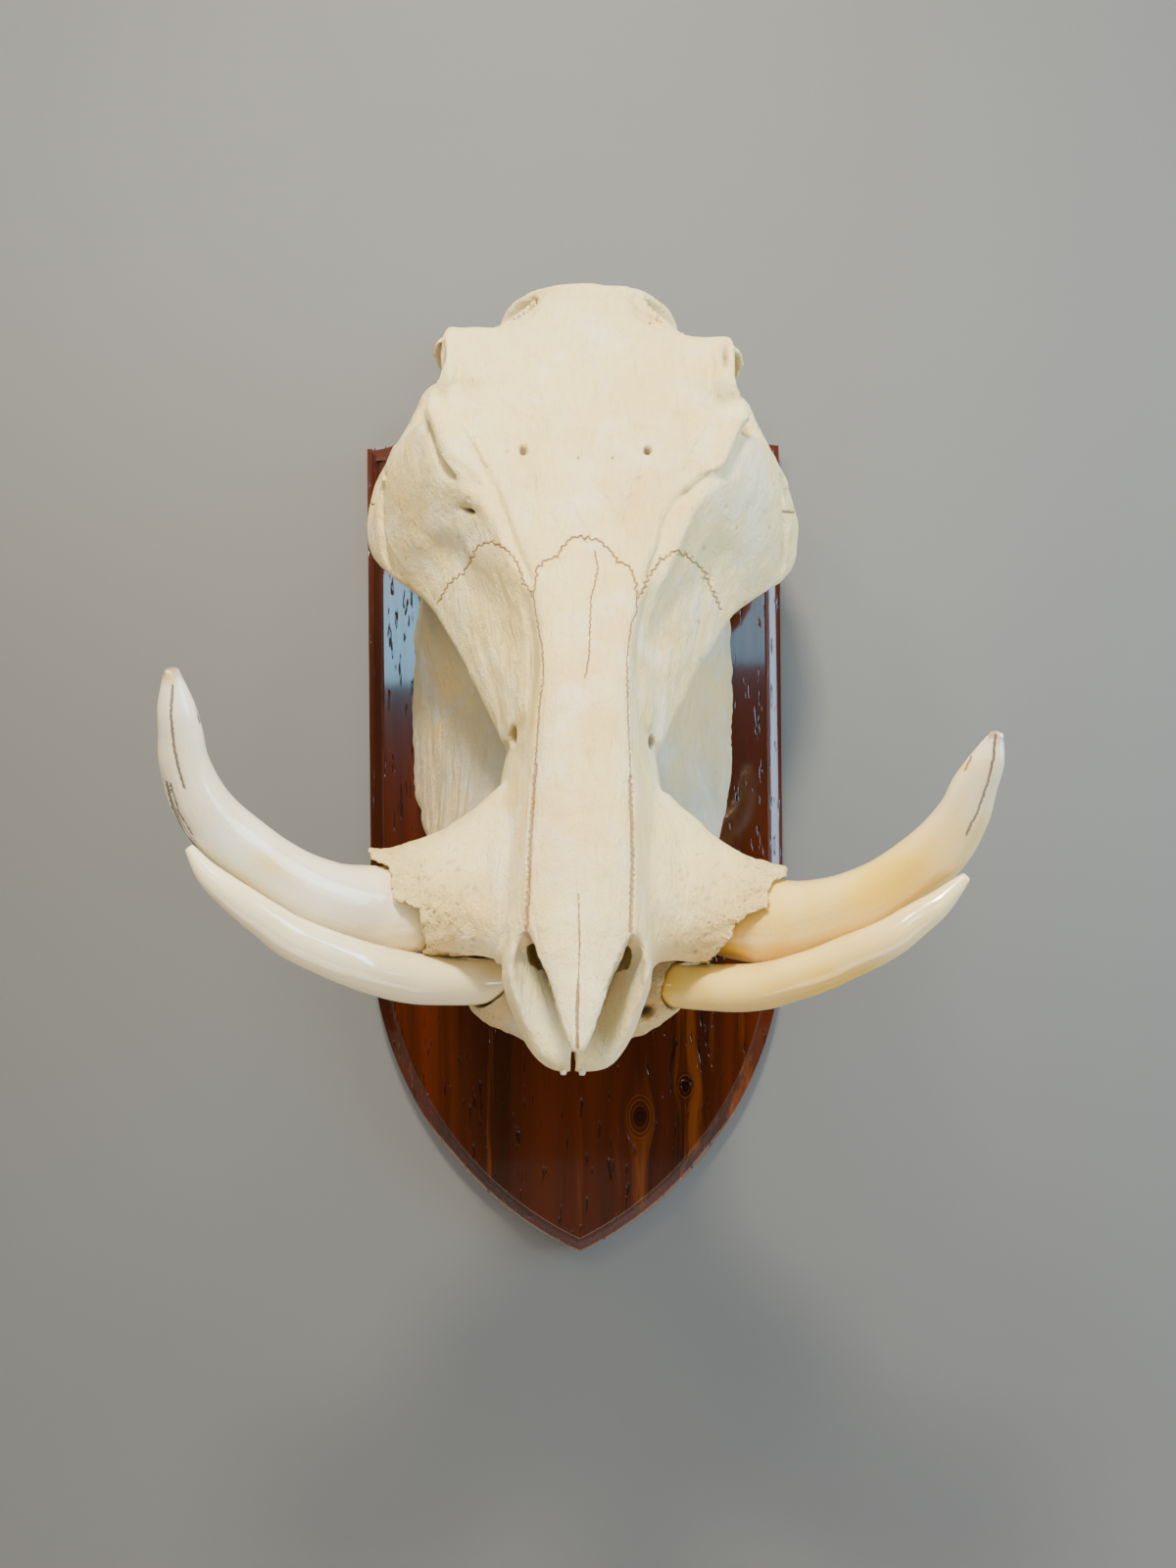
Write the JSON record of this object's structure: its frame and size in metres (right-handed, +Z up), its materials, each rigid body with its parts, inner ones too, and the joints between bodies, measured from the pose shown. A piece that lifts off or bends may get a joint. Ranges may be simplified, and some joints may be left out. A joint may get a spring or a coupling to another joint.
{
  "type": "warthog skull mount",
  "caption": "Warthog skull with lower jaw and curved tusks, hung snout down on a pointed wooden wall shield with a routed rim.",
  "frame": {"origin": "centre of the shield's flat back face, halfway up its height and across its width, on the wall", "axes": "+Z up along the shield, +Y into the wall, -Y away from the wall, +X to the right as seen by a viewer facing the shield"},
  "size_m": [0.299, 0.3475, 0.5734],
  "materials": {
    "shield_wood": "glossy varnish over dark red-brown wood",
    "skull_bone": "dry bleached bone, matt to satin",
    "jaw_bone": "dry bleached bone, matt",
    "upper_tusk_ivory": "satin ivory with tan stains and cracked brown tips",
    "lower_tusk_ivory": "polished ivory",
    "tooth_enamel": "worn tooth enamel",
    "screw_steel": "plain screw steel"
  },
  "bodies": {
    "root": {"shield_plaque": "shield_wood", "cranium": "skull_bone", "mandible": "jaw_bone", "upper_tusk_left": "upper_tusk_ivory", "upper_tusk_right": "upper_tusk_ivory", "lower_tusk_left": "lower_tusk_ivory", "lower_tusk_right": "lower_tusk_ivory", "incisor_left": "tooth_enamel", "incisor_right": "tooth_enamel", "upper_cheek_teeth_left": "tooth_enamel", "upper_cheek_teeth_right": "tooth_enamel", "lower_cheek_teeth_left": "tooth_enamel", "lower_cheek_teeth_right": "tooth_enamel", "mounting_screw_left": "screw_steel", "mounting_screw_right": "screw_steel", "mounting_screw_top": "screw_steel"}
  },
  "joints": []
}
